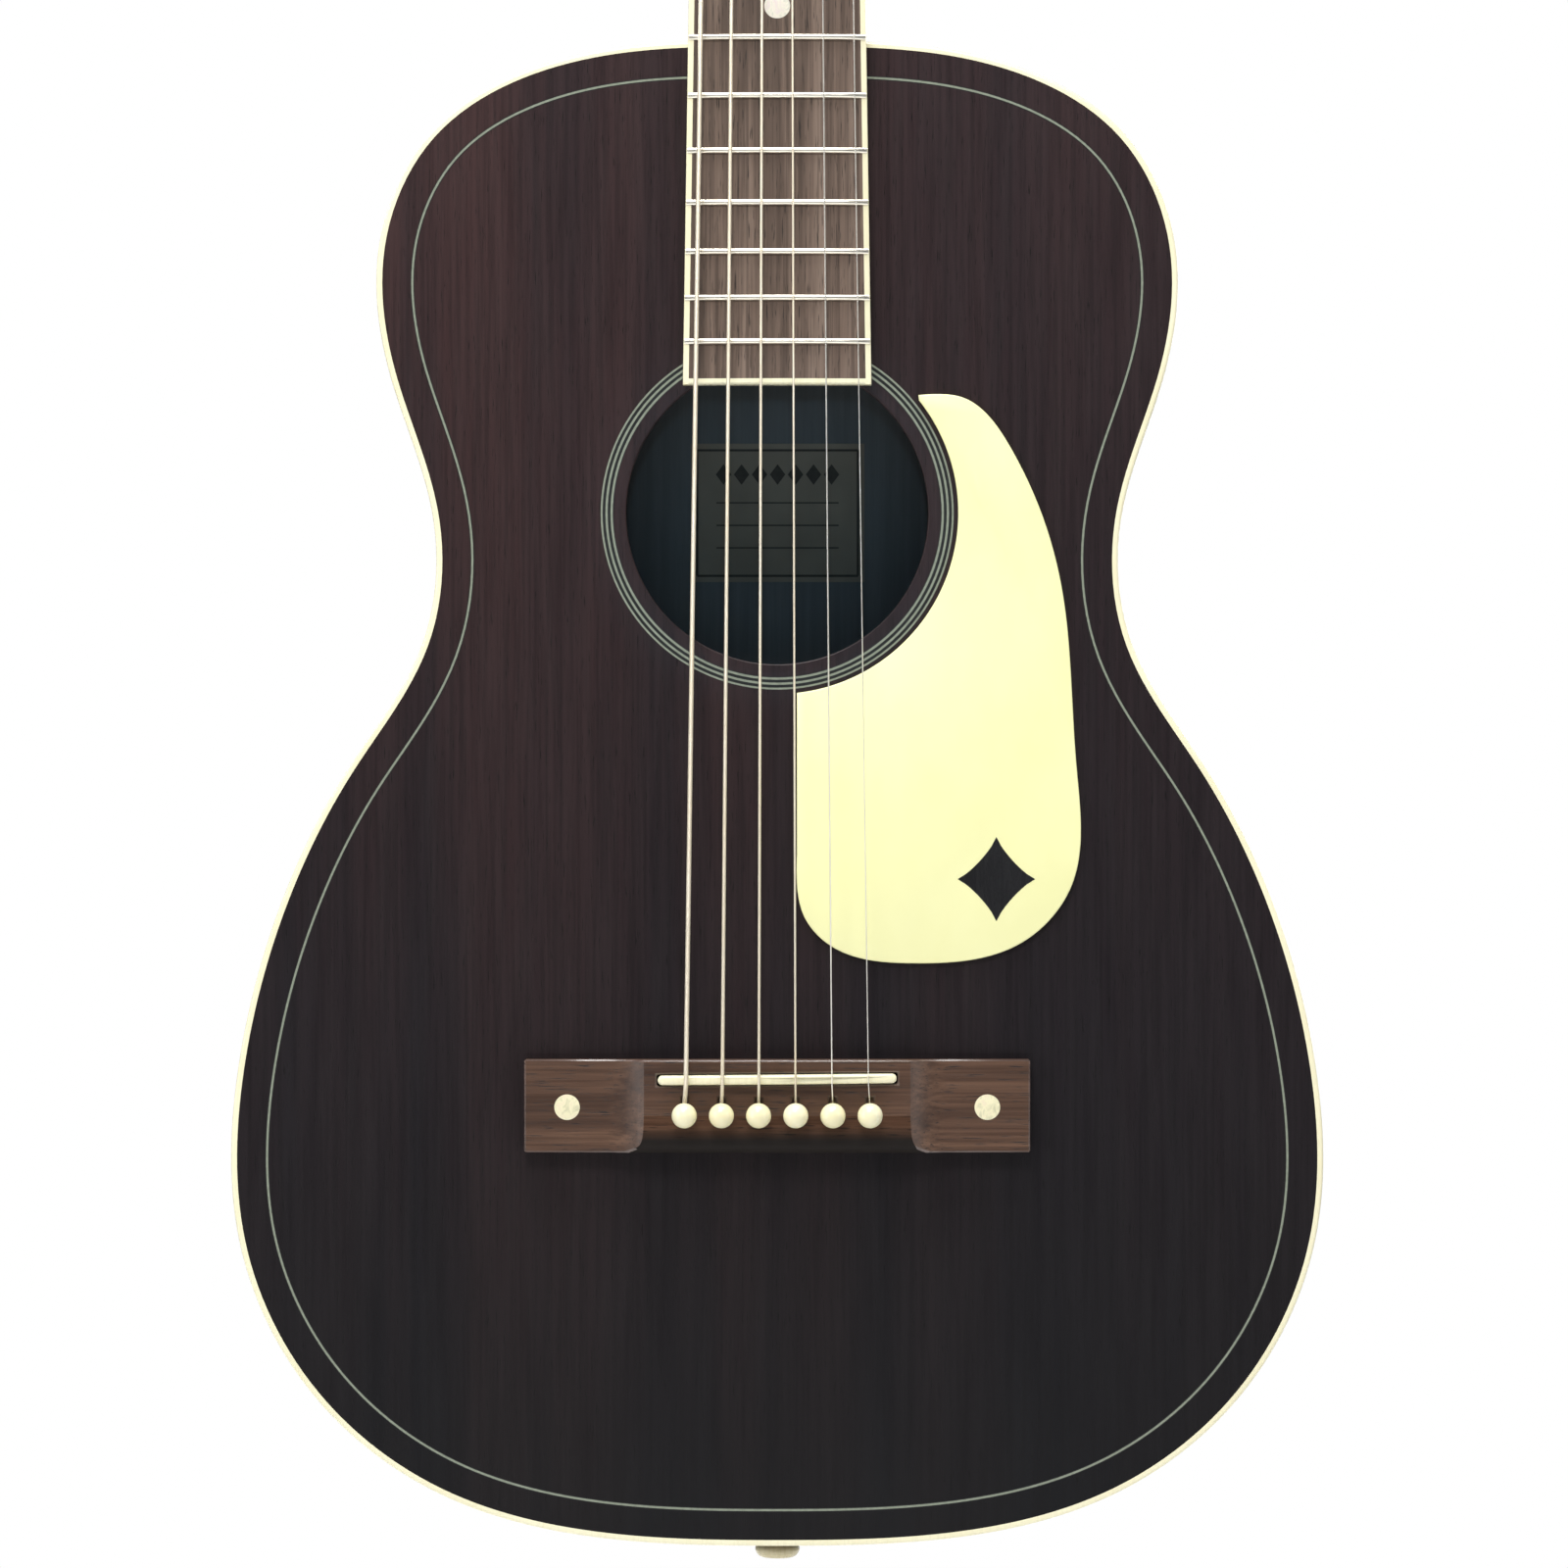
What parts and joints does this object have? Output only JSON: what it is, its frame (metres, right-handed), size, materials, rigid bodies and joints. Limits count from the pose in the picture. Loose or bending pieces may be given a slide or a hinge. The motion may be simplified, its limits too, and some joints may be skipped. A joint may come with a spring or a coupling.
{
  "type": "acoustic guitar",
  "caption": "Small-bodied steel-string acoustic guitar: dark hollow body with round soundhole, bound edges, pickguard and pin bridge, fretted neck and a slanted head with geared tuners.",
  "frame": {"origin": "centre of the flat outer end of the strap button, the guitar's lowest point", "axes": "+Z from the tail up the neck, -Y out of the soundboard towards the player's audience, +X to the treble side, where the pickguard is"},
  "size_m": [0.3218, 0.1113, 0.925],
  "materials": {
    "stained_mahogany": "open-grained mahogany under a dark brown satin stain",
    "bare_wood": "unfinished spruce, mahogany and maple inside the body",
    "cream_plastic": "polished cream",
    "ivory_plastic": "polished ivory white",
    "line_inlay": "thin pale grey line laid flush in the top",
    "pickguard_plastic": "polished pale cream-yellow",
    "rosewood": "dark unlacquered open-pored wood",
    "paper": "plain uncoated",
    "nickel": "nickel-plated",
    "steel": "plain",
    "plain_wire": "bright drawn wire",
    "bronze_wire": "close-wound over a steel core",
    "black_plastic": "polished black"
  },
  "bodies": {
    "guitar": {"soundboard": "stained_mahogany", "back_plate": "stained_mahogany", "side_bass": "stained_mahogany", "side_treble": "stained_mahogany", "neck": "stained_mahogany", "neck_block": "bare_wood", "tail_block": "bare_wood", "top_lining_bass": "bare_wood", "top_lining_treble": "bare_wood", "back_lining_bass": "bare_wood", "back_lining_treble": "bare_wood", "x_brace": "bare_wood", "transverse_brace": "bare_wood", "tone_bar": "bare_wood", "bridge_plate": "bare_wood", "back_brace_lower": "bare_wood", "back_brace_middle": "bare_wood", "back_brace_upper": "bare_wood", "top_binding": "cream_plastic", "back_binding": "cream_plastic", "end_button": "cream_plastic", "heel_cap": "cream_plastic", "fingerboard_binding": "cream_plastic", "saddle": "ivory_plastic", "nut": "ivory_plastic", "top_purfling": "line_inlay", "rosette": "line_inlay", "pickguard": "pickguard_plastic", "bridge": "rosewood", "fingerboard": "rosewood", "label": "paper", "tuner_plate_bass": "nickel", "tuner_plate_treble": "nickel", "truss_rod": "steel", "string_1": "plain_wire", "string_2": "plain_wire", "string_3": "bronze_wire", "string_4": "bronze_wire", "string_5": "bronze_wire", "string_6": "bronze_wire", "truss_rod_cover": "black_plastic"},
    "knob_1": {"tuner_knob_1": "ivory_plastic"},
    "post_1": {"tuner_post_1": "nickel"},
    "pin_1": {"bridge_pin_1": "ivory_plastic"},
    "knob_2": {"tuner_knob_2": "ivory_plastic"},
    "post_2": {"tuner_post_2": "nickel"},
    "pin_2": {"bridge_pin_2": "ivory_plastic"},
    "knob_3": {"tuner_knob_3": "ivory_plastic"},
    "post_3": {"tuner_post_3": "nickel"},
    "pin_3": {"bridge_pin_3": "ivory_plastic"},
    "knob_4": {"tuner_knob_4": "ivory_plastic"},
    "post_4": {"tuner_post_4": "nickel"},
    "pin_4": {"bridge_pin_4": "ivory_plastic"},
    "knob_5": {"tuner_knob_5": "ivory_plastic"},
    "post_5": {"tuner_post_5": "nickel"},
    "pin_5": {"bridge_pin_5": "ivory_plastic"},
    "knob_6": {"tuner_knob_6": "ivory_plastic"},
    "post_6": {"tuner_post_6": "nickel"},
    "pin_6": {"bridge_pin_6": "ivory_plastic"},
    "rod_nut": {"truss_rod_nut": "steel"}
  },
  "joints": [
    {"name": "knob_turn_1", "type": "hinge", "parent": "guitar", "child": "knob_1", "pos_m": [0.021, -0.01871, 0.79212], "axis": [1, 0, 0], "continuous": true},
    {"name": "post_turn_1", "type": "hinge", "parent": "guitar", "child": "post_1", "pos_m": [0.021, -0.03635, 0.80569], "axis": [0, -0.9703, 0.2419], "continuous": true},
    {"name": "knob_turn_2", "type": "hinge", "parent": "guitar", "child": "knob_2", "pos_m": [0.021, -0.00928, 0.82996], "axis": [1, 0, 0], "continuous": true},
    {"name": "post_turn_2", "type": "hinge", "parent": "guitar", "child": "post_2", "pos_m": [0.021, -0.02692, 0.84354], "axis": [0, -0.9703, 0.2419], "continuous": true},
    {"name": "knob_turn_3", "type": "hinge", "parent": "guitar", "child": "knob_3", "pos_m": [0.021, 0.00015, 0.86781], "axis": [1, 0, 0], "continuous": true},
    {"name": "post_turn_3", "type": "hinge", "parent": "guitar", "child": "post_3", "pos_m": [0.021, -0.01749, 0.88138], "axis": [0, -0.9703, 0.2419], "continuous": true},
    {"name": "knob_turn_4", "type": "hinge", "parent": "guitar", "child": "knob_4", "pos_m": [-0.021, 0.00015, 0.86781], "axis": [1, 0, 0], "continuous": true},
    {"name": "post_turn_4", "type": "hinge", "parent": "guitar", "child": "post_4", "pos_m": [-0.021, -0.01749, 0.88138], "axis": [0, -0.9703, 0.2419], "continuous": true},
    {"name": "knob_turn_5", "type": "hinge", "parent": "guitar", "child": "knob_5", "pos_m": [-0.021, -0.00928, 0.82996], "axis": [1, 0, 0], "continuous": true},
    {"name": "post_turn_5", "type": "hinge", "parent": "guitar", "child": "post_5", "pos_m": [-0.021, -0.02692, 0.84354], "axis": [0, -0.9703, 0.2419], "continuous": true},
    {"name": "knob_turn_6", "type": "hinge", "parent": "guitar", "child": "knob_6", "pos_m": [-0.021, -0.01871, 0.79212], "axis": [1, 0, 0], "continuous": true},
    {"name": "post_turn_6", "type": "hinge", "parent": "guitar", "child": "post_6", "pos_m": [-0.021, -0.03635, 0.80569], "axis": [0, -0.9703, 0.2419], "continuous": true},
    {"name": "pin_pull_1", "type": "slide", "parent": "guitar", "child": "pin_1", "axis": [0, -1, 0], "range_m": [0, 0.028]},
    {"name": "pin_pull_2", "type": "slide", "parent": "guitar", "child": "pin_2", "axis": [0, -1, 0], "range_m": [0, 0.028]},
    {"name": "pin_pull_3", "type": "slide", "parent": "guitar", "child": "pin_3", "axis": [0, -1, 0], "range_m": [0, 0.028]},
    {"name": "pin_pull_4", "type": "slide", "parent": "guitar", "child": "pin_4", "axis": [0, -1, 0], "range_m": [0, 0.028]},
    {"name": "pin_pull_5", "type": "slide", "parent": "guitar", "child": "pin_5", "axis": [0, -1, 0], "range_m": [0, 0.028]},
    {"name": "pin_pull_6", "type": "slide", "parent": "guitar", "child": "pin_6", "axis": [0, -1, 0], "range_m": [0, 0.028]},
    {"name": "rod_nut_turn", "type": "hinge", "parent": "guitar", "child": "rod_nut", "pos_m": [0, -0.04, 0.7715], "axis": [0, 0, 1], "range_deg": [-180, 180]}
  ],
  "couplings": [
    {"joint": "post_turn_1", "follows": "knob_turn_1", "ratio": -0.071429},
    {"joint": "post_turn_2", "follows": "knob_turn_2", "ratio": -0.071429},
    {"joint": "post_turn_3", "follows": "knob_turn_3", "ratio": -0.071429},
    {"joint": "post_turn_4", "follows": "knob_turn_4", "ratio": -0.071429},
    {"joint": "post_turn_5", "follows": "knob_turn_5", "ratio": -0.071429},
    {"joint": "post_turn_6", "follows": "knob_turn_6", "ratio": -0.071429}
  ]
}
